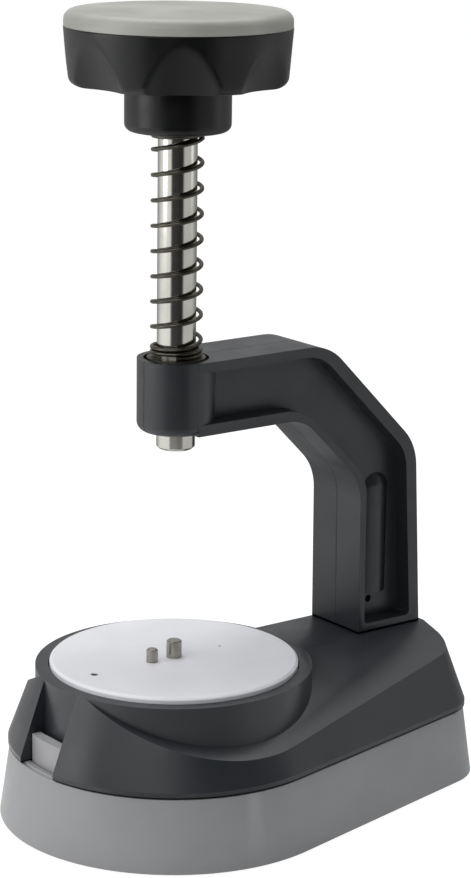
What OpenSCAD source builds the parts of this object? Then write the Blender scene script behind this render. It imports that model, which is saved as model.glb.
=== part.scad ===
// Watch rotor press. The origin is the centre of the footprint on the bench, +Z up, millimetres.
// The ram axis stands ram_y from it, and every piece is laid out from that axis.

/* [Anvil] */
// Diameter of the anvil disc
disc_d = 65; // [58:0.5:72]
// Thickness of the anvil disc
disc_t = 8; // [6:0.5:10]
// Height of the disc above the turret's rim
disc_proud = 1.5; // [0.5:0.1:3]
// Radial gap between the disc and its pocket
disc_gap = 0.3; // [0.2:0.05:0.6]
// Chamfer round the disc's top edge
disc_edge = 0.6; // [0.2:0.1:1.2]
// Diameter of the spigot that the disc turns on
spigot_d = 16; // [14:1:24]
// Length of the spigot below the disc
spigot_l = 4; // [2:0.5:5]
// Radial running clearance of the spigot
spigot_fit = 0.08; // [0.02:0.01:0.1]
// Diameter of the centre post
post_d = 4; // [2.5:0.1:6]
// Height of the centre post above the disc
post_h = 4.5; // [2:0.1:8]
// Diameter of the side post
side_post_d = 3; // [2:0.1:5]
// Height of the side post above the disc
side_post_h = 3.4; // [2:0.1:8]
// Distance of the side post in front of the ram axis
side_post_offset = 7; // [6:0.1:12]
// Depth of the posts in the disc
post_seat = 5; // [3:0.5:6]
// Width of the groove round each post's foot, just below the disc's face
post_groove_w = 0.8; // [0.5:0.1:1.2]
// Depth of that groove
post_groove_depth = 0.2; // [0.1:0.05:0.3]
// Chamfer on the posts
post_edge = 0.3; // [0.1:0.1:0.6]
// Diameter of the front hole in the disc
front_hole_d = 2; // [1:0.1:3]
// Distance of the front hole from the ram axis
front_hole_offset = 25; // [18:0.5:27]
// Diameter of the rear hole in the disc
rear_hole_d = 1; // [0.6:0.1:3]
// Distance of the rear hole from the ram axis
rear_hole_offset = 15; // [10:0.5:25]
// Depth of both holes
hole_depth = 4; // [2:0.5:5]

/* [Turret and cover] */
// Height of the turret's rim and of the ridge above the bench
ridge_z = 40.7; // [37:0.1:46]
// Thickness of the turret's wall
turret_wall = 3.4; // [2.4:0.1:5]
// Thickness of the floor below the disc
pocket_floor = 6; // [5.5:0.5:8]
// Distance from the turret to the cover's lower edge
apron = 7.2; // [6:0.1:10]
// Slope of the cover's outer wall from upright
cover_draft = 20.3; // [15:0.1:22]
// Height of the upright band along the cover's lower edge
cover_band = 1.4; // [1:0.1:3]
// Fall of the two roof slopes beside the ridge
roof_fall = 23.7; // [18:0.1:26]
// How far the ridge is wider than the arm, on each side
ridge_margin = 0.2; // [0:0.1:2]
// Thickness of the cover's walls
cover_wall = 2.6; // [2:0.1:3.2]
// Thickness of the stiffening ribs
rib_t = 2.4; // [1.6:0.1:3.2]
// Diameter of the pillar that carries the load to the tray
pillar_d = 22; // [20:1:28]
// Depth that the cover reaches down inside the tray
skirt_drop = 4; // [2:0.5:5]
// Gap between the cover's skirt and the inside of the tray
skirt_gap = 0.2; // [0.1:0.05:0.4]
// Thickness of the cover's skirt
skirt_wall = 1.8; // [1.4:0.1:2.4]
// Height of the notch's back wall above the tray's edge
notch_back_up = 4; // [3.5:0.1:4.5]
// Gap below the disc's spigot
spigot_end_gap = 1; // [0.5:0.1:1.4]
// Thickness of the block round the tenon
block_wall = 5; // [4:0.5:7]
// Thickness of the block below the tenon
block_floor = 6; // [4:0.5:7]
// How far the block stands in front of the column
block_front = 2; // [1:0.5:4]

/* [Tray] */
// Height of the tray's edge above the bench
tray_z = 19.3; // [17:0.1:21]
// Slope of the tray's wall from upright
tray_draft = 8.3; // [4:0.1:10]
// Thickness of the tray's wall
tray_wall = 2.6; // [2.2:0.1:3.2]
// Thickness of the tray's floor
tray_floor = 2.6; // [2:0.1:4]
// Height of the dark line between tray and cover
shadow_gap = 0.4; // [0.2:0.1:0.8]
// Depth of the dark line
shadow_depth = 1; // [0.6:0.1:1.2]
// Distance that the cover stands out over the tray's edge
cover_overhang = 0.5; // [0:0.1:1]
// Distance between the outsides of the rear corners at the bench
rear_w = 62; // [54:0.5:70]
// Radius of the rear corners at the bench
rear_corner_r = 16; // [15:0.5:20]
// Distance from the column's foot to the back edge at the bench
rear_apron = 11.1; // [9:0.1:16]
// Diameter of the rubber feet
foot_d = 12; // [8:0.5:16]
// Thickness of the rubber feet
foot_t = 1.4; // [1.2:0.1:2]
// Distance from the front feet to the tray's edge at the bench
foot_margin = 4; // [3:0.5:6]
// Direction of the front feet, from straight ahead
foot_angle = 50; // [40:1:60]
// How far the feet stand out below the tray
foot_proud = 0.4; // [0.2:0.1:0.8]

/* [Arm] */
// Width of the arm
arm_w = 20.2; // [18:0.1:24]
// Thickness of the arm, seen from the side
arm_depth = 19; // [17:0.1:22]
// Radius of the head round the ram
head_r = 10.05; // [9.8:0.05:12]
// Radius of the head's lower edge
head_round = 2.5; // [0.5:0.1:2.8]
// Clear height from the disc to the head
daylight = 61; // [52:0.5:70]
// Distance from the ram axis to the column
throat = 53.7; // [50:0.1:62]
// Straight length of the arm's underside from the ram axis
under_flat = 33.9; // [28:0.1:36]
// Radius of the bends on the outside
outer_bend_r = 15; // [8:0.5:16]
// Radius of the upper bend on the inside
upper_bend_r = 12; // [6:0.5:14]
// Radius of the lower bend on the inside
lower_bend_r = 14; // [8:0.5:18]
// How far the foot's front stands further back than the bend
front_lean = 0.4; // [0:0.1:2]
// How far the foot's back stands further back than the bend
back_lean = 2.8; // [0:0.1:4]
// Thickness of the web between the two side recesses
web_t = 9.8; // [9:0.1:11.5]
// Width of the flange along the arm's top
top_flange_w = 2.6; // [2:0.1:4]
// Width of the flange along the beam's underside
under_flange_w = 2.9; // [2:0.1:4]
// Width of the flange along the outer bevel
bevel_flange_w = 3.5; // [2.5:0.1:4.5]
// Width of the flange at the back of the column
back_flange_w = 3.5; // [3:0.1:6]
// Width of the flange at the front of the column
front_flange_w = 2; // [1.5:0.1:3]
// Height of the recess's lower end above the ridge
recess_sill = 2.5; // [1:0.1:5]

/* [Column screw] */
// Nominal diameter of the column screw
screw_d = 6; // [5:0.5:6]
// Distance of the column screw behind the column's front
screw_back = 9.2; // [8.8:0.1:11]
// Length of the screw below its head
screw_l = 50; // [40:1:56]
// Diameter of the screw boss on the web
boss_d = 13; // [11.2:0.1:13.4]
// Height of the screw boss's rounded top above the ridge
boss_top = 45.2; // [38:0.1:46]
// Height of the screw boss's lower end above the ridge
boss_bottom = 9.3; // [8:0.1:14]
// Depth of the foot's tenon in the cover
tenon_h = 9; // [6:0.5:10]
// Width of the tenon
tenon_w = 15; // [14:0.5:16]
// Length of the tenon
tenon_l = 14; // [13.5:0.1:15]
// Thickness of the column screw's washer
washer_t = 1.5; // [1:0.1:2]
// How much wider the screws' holes are than the screws
screw_gap = 0.4; // [0.2:0.1:0.8]
// Room above the column screw's end
screw_room = 2; // [1:0.5:4]
// Gap round the tenon
tenon_gap = 0.15; // [0.05:0.05:0.3]
// Gap below the tenon
tenon_end_gap = 0.3; // [0.1:0.05:0.5]
// Diameter of the threaded insert
insert_d = 9; // [8:0.5:10]
// Length of the threaded insert
insert_l = 14; // [8:0.5:18]
// Distance of the small side holes in front of the column screw
cross_hole_offset = 1.4; // [0.5:0.1:3.6]
// Height of the small side holes above the ridge
cross_hole_up = 7.5; // [6.5:0.1:14]
// Depth of the small side holes in the web
cross_hole_depth = 1.6; // [1:0.1:1.7]
// Diameter of the small side holes
cross_hole_d = 2; // [1.2:0.1:2.4]

/* [Ram] */
// Diameter of the rod
rod_d = 10; // [9:0.1:11]
// Radial running clearance of the rod in its bushes
rod_fit = 0.04; // [0.02:0.01:0.08]
// How far the rod's tip stands out below the head
tip_l = 4.7; // [3:0.1:8]
// Chamfer on the rod's tip
tip_edge = 0.7; // [0.3:0.1:1.2]
// Travel of the ram
stroke = 43.5; // [34:0.5:50]
// Outer diameter of the bushes
bush_d = 13; // [12.6:0.1:14]
// Length of the upper bush below its flange
upper_bush_l = 8; // [5:0.5:9]
// Length of the lower bush
lower_bush_l = 6; // [4:0.5:7]
// Diameter of the bush's flange
flange_d = 15; // [14.6:0.1:16]
// Thickness of the bush's flange
flange_t = 1.5; // [1:0.1:2]
// Depth that the flange is let into the head
flange_sink = 1.3; // [0.5:0.1:1.5]
// Gap round the flange
flange_gap = 0.9; // [0.3:0.1:1]
// Outer diameter of the retaining ring
clip_d = 14.2; // [13:0.1:14.4]
// Thickness of the retaining ring
clip_t = 1; // [0.8:0.1:1.2]
// Depth of the ring's groove in the rod
groove_depth = 0.5; // [0.3:0.1:0.8]
// Clearance of the retaining ring in its groove
clip_fit = 0.05; // [0.03:0.01:0.1]
// Width of the retaining ring's opening
clip_mouth = 5; // [3:0.5:6]
// Depth of the recess for the ring in the head
clip_recess = 3.4; // [2.6:0.1:4]
// Gap round the ring in its recess
clip_gap = 0.5; // [0.3:0.1:0.6]

/* [Spring] */
// Outer diameter of the spring
spring_d = 13.5; // [13:0.1:14.2]
// Diameter of the spring wire
wire_d = 1.1; // [0.8:0.05:1.2]
// How far the spring stays from closing up at the end of the stroke
spring_spare = 0.4; // [0.2:0.1:2]
// Open turns of the spring
open_turns = 8.2; // [6:0.1:9]
// Closed turns at the lower end
lower_turns = 2; // [1:0.25:2]
// Closed turns at the upper end
upper_turns = 1; // [1:0.25:1.5]
// Gap between closed turns
turn_gap = 0.06; // [0.05:0.01:0.1]
// Direction in which the lower end of the wire starts
wire_start = -36; // [-180:1:180]

/* [Knob] */
// Diameter of the knob at its cap
knob_d = 57; // [52:0.5:62]
// Height of the fluted skirt
skirt_h = 14.4; // [12:0.1:18]
// How much the skirt narrows downwards, on the radius
skirt_taper = 1.2; // [0:0.1:2]
// Radius of the skirt's lower edge
skirt_round = 2.5; // [1:0.1:4]
// Number of flutes
flutes = 7; // [5:1:9]
// Radius of the flutes
flute_r = 22; // [12:0.5:30]
// Slope of the flutes from upright
flute_tilt = 24; // [12:0.5:25]
// Distance from the cap's seam to the top of the flutes
flute_top = 2; // [0.5:0.1:3]
// Direction of the first flute
flute_start = -33.2; // [-180:0.1:180]
// Diameter of the hub
hub_d = 26.8; // [24:0.1:30]
// Height of the hub below the skirt
hub_h = 11.5; // [8:0.1:14]
// Radius of the hub's lower edge
hub_round = 2; // [1:0.1:3]
// Diameter of the hollow under the cap
bowl_d = 46; // [40:0.5:47]
// Depth of the hollow under the cap
bowl_depth = 7; // [6.8:0.1:8]
// Thickness of the knob between the rod's end and the hollow
knob_web = 3.6; // [3:0.1:4]
// How much smaller than the knob the cap is, on the radius
cap_margin = 0.1; // [0:0.05:0.5]
// Height of the cap above the seam
cap_h = 4.5; // [4:0.1:7]
// Radius of the cap's upper edge
cap_round = 2.5; // [2:0.1:3.6]
// Height of the dome on the cap
cap_dome = 0.5; // [0.3:0.1:1]
// Thickness of the cap
cap_t = 2.4; // [1.6:0.1:3]
// Depth of the cap's ring in the knob
cap_spigot = 2; // [1:0.1:3]
// Nominal diameter of the knob screw
knob_screw_d = 5; // [4:0.5:5]
// Thickness of the knob screw's washer
knob_washer_t = 1; // [0.8:0.1:1.4]
// Depth of the thread in the rod
thread_depth = 14; // [12:0.5:18]

/* [Latch] */
// Width of the notch in front
notch_w = 15; // [12:0.5:18]
// Side gap between the latch button and the notch
latch_gap = 0.3; // [0.2:0.05:0.5]
// Gap between the latch button and the inside of the tray
latch_face_gap = 0.3; // [0.2:0.05:0.5]
// Thickness of the latch button at its middle
latch_t = 3; // [2.8:0.1:3.2]
// Height of the button's top above the tray's edge
latch_up = 7.7; // [6.6:0.1:9]
// Depth of the button below the tray's edge
latch_down = 7; // [5:0.1:9]
// Length of the latch's nose
nose_l = 1.9; // [1.4:0.1:2.2]
// Width of the latch's nose
nose_w = 7.9; // [6:0.1:9]
// Play round the nose in the tray's wall
nose_play = 0.5; // [0.4:0.05:0.8]
// Height of the latch's nose
nose_h = 2; // [1.5:0.1:3]
// Diameter of the latch pin
pin_d = 1.6; // [1:0.1:1.8]
// Distance of the latch pin behind the button's face
pin_back = 1.8; // [1.4:0.1:1.9]
// Distance of the latch pin below the button's top
pin_down = 2.4; // [2:0.1:2.6]
// Radial running clearance of the latch pin
pin_fit = 0.05; // [0.02:0.01:0.1]
// Depth that the pin stands in each side of the notch
pin_seat = 1.7; // [1:0.1:2]

/* [Hidden] */
$fn = 96;
eps = 0.01;
// More than any length of the press, for cuts that run right through
far = 300;

// Plan of the base, from the ram axis: a round front and two rear corners
turret_r = disc_d / 2 + disc_gap + turret_wall;
cover_r = turret_r + apron;
tray_top_r = cover_r - cover_overhang;
tray_r = tray_top_r + (tray_z - foot_proud) * tan(tray_draft);
base_back = throat + arm_depth + back_lean + rear_apron;
corner_x = rear_w / 2 - rear_corner_r;
corner_y = base_back - rear_corner_r;
ram_y = (tray_r - base_back) / 2;
corner_top_r = rear_corner_r - (tray_z - foot_proud) * tan(tray_draft);

// Heights
seat_z = tray_z + shadow_gap;
floor_z = foot_proud + tray_floor;
pocket_z = ridge_z + disc_proud - disc_t;
disc_z = ridge_z + disc_proud;
head_z = disc_z + daylight;
head_top = head_z + arm_depth;
flange_z = head_top - flange_sink;
spring_z = flange_z + flange_t;
spring_turns = lower_turns + open_turns + upper_turns;
spring_h = stroke + spring_spare + wire_d * (spring_turns + 1);
hub_z = spring_z + spring_h;
skirt_z = hub_z + hub_h;
seam_z = skirt_z + skirt_h;
bowl_z = seam_z - bowl_depth;
rod_top = bowl_z - knob_web;
clip_z = head_z + clip_recess;
tip_z = head_z - tip_l;

// Cover
ridge_half = arm_w / 2 + ridge_margin;
cover_corner_r = corner_top_r + cover_overhang;
block_z = ridge_z - tenon_h - block_floor;
// The notch has a back wall only above this height, so that the latch can swing in below it
notch_back_z = tray_z + notch_back_up;
screw_y = throat + screw_back;

// Rounded outlines: each corner of a polygon is replaced by an arc of its own radius
arc_steps = 8;
knob_arc_steps = 5;
function unit(v) = v / norm(v);
function corner_arc(a, b, c, r, steps) =
    let (
        u = unit(a - b),
        v = unit(c - b),
        half = acos(u * v) / 2,
        centre = b + unit(u + v) * r / sin(half),
        p = b + u * r / tan(half) - centre,
        sweep = -sign(cross(u, v)) * (180 - 2 * half)
    )
    [for (i = [0 : steps]) let (t = sweep * i / steps)
        centre + [p.x * cos(t) - p.y * sin(t), p.x * sin(t) + p.y * cos(t)]];
function rounded(points, radii, steps = arc_steps) =
    let (n = len(points))
    [for (i = [0 : n - 1]) each (radii[i] == 0 ? [points[i]]
        : corner_arc(points[(i + n - 1) % n], points[i], points[(i + 1) % n], radii[i], steps))];

module on_ram_axis() translate([0, ram_y, 0]) children();

// A slab over the base's plan: round front and rear corners, each with its own radius below and above
module base_slab(z, h, front_below, front_above, rear_below, rear_above) {
    hull() {
        translate([0, 0, z]) cylinder(h = h, r1 = front_below, r2 = front_above);
        for (side = [-1, 1]) translate([side * corner_x, corner_y, z])
            cylinder(h = h, r1 = rear_below, r2 = rear_above, $fn = 48);
    }
}

// An outline in Y and Z, extruded to a width centred on X = 0
module side_profile(width) {
    rotate([90, 0, 90]) translate([0, 0, -width / 2]) linear_extrude(width) children();
}

module base_tray() color("silver") on_ram_axis() {
    slope = tan(tray_draft);
    h = tray_z - foot_proud;
    inner_h = seat_z - floor_z;
    difference() {
        union() {
            base_slab(foot_proud, h, tray_r, tray_top_r, rear_corner_r, corner_top_r);
            base_slab(tray_z - eps, shadow_gap + eps, tray_top_r - shadow_depth, tray_top_r - shadow_depth,
                corner_top_r - shadow_depth, corner_top_r - shadow_depth);
        }
        base_slab(floor_z, inner_h + eps, tray_top_r - tray_wall + inner_h * slope, tray_top_r - tray_wall,
            corner_top_r - tray_wall + inner_h * slope, corner_top_r - tray_wall);
        at_feet() translate([0, 0, -eps]) cylinder(h = foot_t + eps, d = foot_d);
        latch_window();
    }
}

// The recess in the tray's wall that holds the latch's nose
module latch_window() {
    w = nose_w + 2 * nose_play;
    h = nose_h + 2 * nose_play;
    low = tray_z - latch_down - nose_play;
    intersection() {
        translate([0, 0, low]) cylinder(h = h, r = latch_r + nose_l + nose_play);
        translate([-w / 2, -far, low]) cube([w, far, h]);
    }
}

module at_feet() {
    front_r = tray_r - foot_margin - foot_d / 2;
    for (side = [-1, 1]) {
        translate([side * front_r * sin(foot_angle), -front_r * cos(foot_angle), 0]) children();
        translate([side * corner_x, corner_y, 0]) children();
    }
}

module rubber_feet() color("dimgray") on_ram_axis() at_feet() cylinder(h = foot_t, d = foot_d);

// The cover's outside: an upright band, a wall that leans in, and a ridged roof cut over both
module cover_outside(inset) {
    top = ridge_z + eps;
    h = top - seat_z - cover_band;
    run = h * tan(cover_draft);
    front = cover_r - inset;
    rear = cover_corner_r - inset;
    intersection() {
        union() {
            base_slab(seat_z, cover_band + eps, front, front, rear, rear);
            base_slab(seat_z + cover_band, h, front, front - run, rear, rear - run);
        }
        roof(inset);
    }
}

// The roof prism: a flat ridge along Y that falls away to both sides
module roof(inset) {
    top = ridge_z - inset;
    reach = ridge_half + top / tan(roof_fall);
    rotate([90, 0, 0]) translate([0, 0, -far]) linear_extrude(2 * far)
        polygon([[-reach, 0], [reach, 0], [ridge_half, top], [-ridge_half, top]]);
}

// A thin skirt below the cover's edge keeps the tray centred
module locating_skirt() {
    front = tray_top_r - tray_wall - skirt_gap;
    rear = corner_top_r - tray_wall - skirt_gap;
    low = seat_z - skirt_drop;
    h = skirt_drop + cover_band;
    difference() {
        base_slab(low, h, front, front, rear, rear);
        base_slab(low - eps, h + 2 * eps, front - skirt_wall, front - skirt_wall, rear - skirt_wall,
            rear - skirt_wall);
    }
}

module base_cover() color("dimgray") on_ram_axis() {
    difference() {
        union() {
            difference() {
                cover_outside(0);
                difference() {
                    translate([0, 0, -eps]) cover_outside(cover_wall);
                    cover_core();
                }
            }
            translate([0, 0, pocket_z - pocket_floor]) cylinder(h = ridge_z - pocket_z + pocket_floor, r = turret_r);
            pillar();
            locating_skirt();
        }
        translate([0, 0, pocket_z]) cylinder(h = far, r = turret_r - turret_wall);
        translate([0, 0, pocket_z - spigot_l - spigot_end_gap]) cylinder(h = far, r = spigot_d / 2 + spigot_fit);
        translate([0, 0, -tenon_end_gap]) tenon(tenon_gap, far);
        translate([0, screw_y, 0]) cylinder(h = ridge_z, d = screw_d + screw_gap);
        notch();
        latch_pin_place() cylinder(h = notch_w + 2 * pin_seat, d = pin_d, center = true);
    }
}

// The pillar below the turret, hollow, down to the tray's floor
module pillar() {
    translate([0, 0, floor_z]) difference() {
        cylinder(h = pocket_z - pocket_floor - floor_z + eps, d = pillar_d);
        translate([0, 0, -eps]) cylinder(h = pocket_z - pocket_floor - floor_z - rib_t, d = pillar_d - 2 * rib_t);
    }
}

// What stays solid inside the cover: the block round the tenon, two long ribs and the notch's walls
module cover_core() {
    block_w = tenon_w + 2 * block_wall;
    translate([-block_w / 2, throat - block_front, block_z]) cube([block_w, far, far]);
    for (side = [-1, 1]) translate([side * tenon_w / 2 - rib_t / 2, 0, 0]) cube([rib_t, far, far]);
    for (side = [-1, 1]) translate([side * (notch_w + rib_t) / 2 - rib_t / 2, -far, 0])
        cube([rib_t, far - turret_r + turret_wall, far]);
    translate([-notch_w / 2, -far, notch_back_z]) cube([notch_w, far - turret_r + turret_wall, far]);
}

// The front notch runs back to the turret's own cylinder
module notch() {
    difference() {
        translate([-notch_w / 2, -far, 0]) cube([notch_w, far - turret_r / 2, ridge_z]);
        cylinder(h = far, r = turret_r);
    }
}

// The button's face follows the tray's wall and its pin stands near its top
latch_r = tray_top_r - tray_wall - latch_face_gap;
pivot_y = pin_back - latch_r;
pivot_z = tray_z + latch_up - pin_down;
module latch_pin_place() translate([0, pivot_y, pivot_z]) rotate([0, 90, 0]) children();

module latch_button() color("gainsboro") on_ram_axis() {
    w = notch_w - 2 * latch_gap;
    low = tray_z - latch_down;
    difference() {
        union() {
            latch_plate(w, latch_r, low, tray_z + latch_up);
            latch_plate(nose_w, latch_r + nose_l, low, low + nose_h);
        }
        latch_pin_place() cylinder(h = far, r = pin_d / 2 + pin_fit, center = true);
    }
}

// A plate with a round front and a flat back
module latch_plate(w, r, low, high) {
    intersection() {
        translate([0, 0, low]) cylinder(h = high - low, r = r);
        translate([-w / 2, -far, low]) cube([w, far - latch_r + latch_t, high - low]);
    }
}

module latch_pin() color("silver") on_ram_axis()
    latch_pin_place() cylinder(h = notch_w + 2 * pin_seat, d = pin_d, center = true);

module anvil_disc() color("white") on_ram_axis() {
    r = disc_d / 2;
    difference() {
        rotate_extrude() polygon([[0, pocket_z - spigot_l], [spigot_d / 2, pocket_z - spigot_l],
            [spigot_d / 2, pocket_z], [r, pocket_z], [r, disc_z - disc_edge], [r - disc_edge, disc_z], [0, disc_z]]);
        translate([0, 0, disc_z - post_seat]) cylinder(h = far, d = post_d);
        translate([0, -side_post_offset, disc_z - post_seat]) cylinder(h = far, d = side_post_d);
        translate([0, -front_hole_offset, disc_z - hole_depth]) cylinder(h = far, d = front_hole_d);
        translate([0, rear_hole_offset, disc_z - hole_depth]) cylinder(h = far, d = rear_hole_d);
    }
}

// A steel post that is pressed into the disc, with a fine groove round its foot and a chamfered top
module post(d, h) {
    r = d / 2;
    groove_r = r - post_groove_depth;
    top = disc_z + h;
    rotate_extrude() polygon([[0, disc_z - post_seat], [r, disc_z - post_seat], [r, disc_z - post_groove_w],
        [groove_r, disc_z - post_groove_w], [groove_r, disc_z], [r, disc_z], [r, top - post_edge],
        [r - post_edge, top], [0, top]]);
}

module centre_post() color("slategray") on_ram_axis() post(post_d, post_h);

module side_post() color("slategray") on_ram_axis() translate([0, -side_post_offset, 0])
    post(side_post_d, side_post_h);

// The arm's side outline. Both bends turn by 45 degrees, so the band keeps one thickness
bend_shift = arm_depth * tan(22.5);
inner_z = head_z - (throat - under_flat);
outer_y = under_flat + bend_shift;
column_back_y = throat + arm_depth;
outer_z = head_top - (column_back_y - outer_y);
module arm_outline() {
    polygon(rounded(
        [[0, head_z], [under_flat, head_z], [throat, inner_z], [throat + front_lean, ridge_z],
            [column_back_y + back_lean, ridge_z], [column_back_y, outer_z], [outer_y, head_top], [0, head_top]],
        [0, upper_bend_r, lower_bend_r, 0, 0, outer_bend_r, outer_bend_r, 0]));
}

// The recess keeps its own flange width along each side of the arm and runs up to the round head
module recess_outline() {
    low = head_z + under_flange_w;
    high = head_top - top_flange_w;
    front = throat + front_flange_w;
    back = column_back_y - back_flange_w;
    sill = ridge_z + recess_sill;
    inner_sum = head_z + under_flat + front_flange_w * sqrt(2);
    outer_sum = head_top + outer_y - bevel_flange_w * sqrt(2);
    sill_r = 1.2;
    polygon(rounded(
        [[-eps, low], [inner_sum - low, low], [front, inner_sum - front], [front + front_lean, sill],
            [back + back_lean, sill], [back, outer_sum - back], [outer_sum - high, high], [-eps, high]],
        [0, upper_bend_r + front_flange_w, lower_bend_r - front_flange_w, sill_r, sill_r,
            outer_bend_r - bevel_flange_w, outer_bend_r - bevel_flange_w, 0]));
}

module press_arm() color("dimgray") on_ram_axis() {
    difference() {
        union() {
            difference() {
                side_profile(arm_w) arm_outline();
                for (side = [-1, 1]) translate([side * (web_t + arm_w) / 2, 0, 0])
                    side_profile(arm_w) recess_outline();
            }
            rotate_extrude() polygon(rounded([[0, head_z], [head_r, head_z], [head_r, head_top], [0, head_top]],
                [0, head_round, 0, 0]));
            screw_boss();
            tenon(0, ridge_z + eps);
        }
        translate([0, 0, clip_z]) cylinder(h = far, d = bush_d);
        translate([0, 0, head_z - eps]) cylinder(h = clip_recess + eps, d = clip_d + 2 * clip_gap);
        translate([0, 0, flange_z]) cylinder(h = far, d = flange_d + 2 * flange_gap);
        translate([0, screw_y, 0]) cylinder(h = ridge_z - tenon_h + insert_l, d = insert_d);
        translate([0, screw_y, 0]) cylinder(h = screw_z + screw_l + screw_room, d = screw_d + screw_gap);
        for (side = [-1, 1]) translate([side * web_t / 2, screw_y - cross_hole_offset, ridge_z + cross_hole_up])
            rotate([0, 90, 0]) cylinder(h = 2 * cross_hole_depth, d = cross_hole_d, center = true);
    }
}

// The round boss for the column screw shows through both faces of the web
module screw_boss() {
    translate([0, screw_y, ridge_z + boss_bottom]) cylinder(h = boss_top - boss_bottom - boss_d / 2, d = boss_d);
    translate([0, screw_y, ridge_z + boss_top - boss_d / 2]) sphere(d = boss_d);
}

// The foot's tenon, grown by a gap for its socket
module tenon(gap, top) {
    translate([-tenon_w / 2 - gap, screw_y - tenon_l / 2 - gap, ridge_z - tenon_h])
        cube([tenon_w + 2 * gap, tenon_l + 2 * gap, top - ridge_z + tenon_h]);
}

screw_z = block_z - washer_t;
module column_screw() color("silver") on_ram_axis() translate([0, screw_y, screw_z])
    socket_screw(screw_d, screw_l);

module column_washer() color("silver") on_ram_axis() translate([0, screw_y, screw_z])
    washer(screw_d, washer_t);

module column_insert() color("goldenrod") on_ram_axis() translate([0, screw_y, ridge_z - tenon_h])
    difference() {
        cylinder(h = insert_l, d = insert_d);
        translate([0, 0, -eps]) cylinder(h = far, d = screw_d);
    }

// A socket head screw that points up, with the head's seat at Z = 0
module socket_screw(d, l) {
    head_d = d * 1.65;
    difference() {
        union() {
            cylinder(h = l, d = d);
            translate([0, 0, -d]) cylinder(h = d, d = head_d);
        }
        translate([0, 0, -d - eps]) cylinder(h = d / 2, d = d * 0.95, $fn = 6);
    }
}

module washer(d, t) {
    difference() {
        cylinder(h = t, d = d * 2);
        translate([0, 0, -eps]) cylinder(h = far, d = d + screw_gap);
    }
}

module upper_bush() color("lightgray") on_ram_axis() difference() {
    union() {
        translate([0, 0, flange_z - upper_bush_l]) cylinder(h = upper_bush_l, d = bush_d);
        translate([0, 0, flange_z]) cylinder(h = flange_t, d = flange_d);
    }
    cylinder(h = far, r = rod_d / 2 + rod_fit);
}

module lower_bush() color("lightgray") on_ram_axis() translate([0, 0, clip_z]) difference() {
    cylinder(h = lower_bush_l, d = bush_d);
    translate([0, 0, -eps]) cylinder(h = far, r = rod_d / 2 + rod_fit);
}

module ram_rod() color("silver") on_ram_axis() {
    r = rod_d / 2;
    groove_r = r - groove_depth;
    groove_low = clip_z - clip_t - clip_fit;
    groove_high = clip_z + clip_fit;
    difference() {
        rotate_extrude() polygon([[0, tip_z], [r - tip_edge, tip_z], [r, tip_z + tip_edge], [r, groove_low],
            [groove_r, groove_low], [groove_r, groove_high], [r, groove_high], [r, rod_top], [0, rod_top]]);
        translate([0, 0, rod_top - thread_depth]) cylinder(h = far, d = knob_screw_d);
    }
}

module retaining_ring() color("slategray") on_ram_axis() translate([0, 0, clip_z - clip_t]) difference() {
    cylinder(h = clip_t, d = clip_d);
    translate([0, 0, -eps]) cylinder(h = far, r = rod_d / 2 - groove_depth + clip_fit);
    translate([-clip_mouth / 2, 0, -eps]) cube([clip_mouth, far, far]);
}

// The spring is a wire swept along a helix that closes up at both ends
wire_sides = 8;
steps_per_turn = 20;
spring_steps = round(spring_turns * steps_per_turn);
closed_pitch = wire_d + turn_gap;
open_pitch = (spring_h - wire_d - closed_pitch * (lower_turns + upper_turns)) / open_turns;
function coil_height(turn) = wire_d / 2 + closed_pitch * min(turn, lower_turns)
    + open_pitch * max(0, min(turn - lower_turns, open_turns))
    + closed_pitch * max(0, turn - lower_turns - open_turns);
function wire_ring(step) =
    let (turn = step * spring_turns / spring_steps, a = wire_start + 360 * turn, mean_r = (spring_d - wire_d) / 2)
    [for (k = [0 : wire_sides - 1]) let (w = 360 * k / wire_sides, r = mean_r + wire_d / 2 * cos(w))
        [r * cos(a), r * sin(a), coil_height(turn) + wire_d / 2 * sin(w)]];

module return_spring() color("darkslategray") on_ram_axis() translate([0, 0, spring_z]) {
    points = [for (step = [0 : spring_steps]) each wire_ring(step)];
    sides = [for (step = [0 : spring_steps - 1], k = [0 : wire_sides - 1])
        let (a = step * wire_sides, b = (k + 1) % wire_sides)
        [a + k, a + wire_sides + k, a + wire_sides + b, a + b]];
    first = [for (k = [0 : wire_sides - 1]) k];
    last = [for (k = [wire_sides - 1 : -1 : 0]) spring_steps * wire_sides + k];
    polyhedron(points, concat([first], sides, [last]));
}

// Cuts a number of flutes one after another, each by a cylinder that leans in at the bottom
module fluted(count) {
    if (count == 0) children();
    else difference() {
        fluted(count - 1) children();
        rotate([0, 0, flute_start + 360 * count / flutes]) translate([knob_d / 2, 0, seam_z - flute_top])
            rotate([0, flute_tilt, 0]) translate([flute_r, 0, -knob_d]) cylinder(h = 2 * knob_d, r = flute_r);
    }
}

module knob() color("dimgray") on_ram_axis() {
    top_r = knob_d / 2;
    low_r = top_r - skirt_taper;
    hub_r = hub_d / 2;
    bowl_r = bowl_d / 2;
    outline = rounded(
        [[0, hub_z], [hub_r, hub_z], [hub_r, skirt_z], [low_r, skirt_z], [top_r, seam_z], [bowl_r, seam_z],
            [bowl_r, bowl_z], [0, bowl_z]],
        [0, hub_round, 0, skirt_round, 0, 0, 0, 0], knob_arc_steps);
    difference() {
        fluted(flutes) rotate_extrude() polygon(outline);
        cylinder(h = rod_top, d = rod_d);
        cylinder(h = far, d = knob_screw_d + screw_gap);
    }
}

module knob_washer() color("silver") on_ram_axis() translate([0, 0, bowl_z]) washer(knob_screw_d, knob_washer_t);

module knob_screw() color("silver") on_ram_axis() translate([0, 0, bowl_z + knob_washer_t]) mirror([0, 0, 1])
    socket_screw(knob_screw_d, knob_washer_t + knob_web + thread_depth - screw_room);

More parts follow.
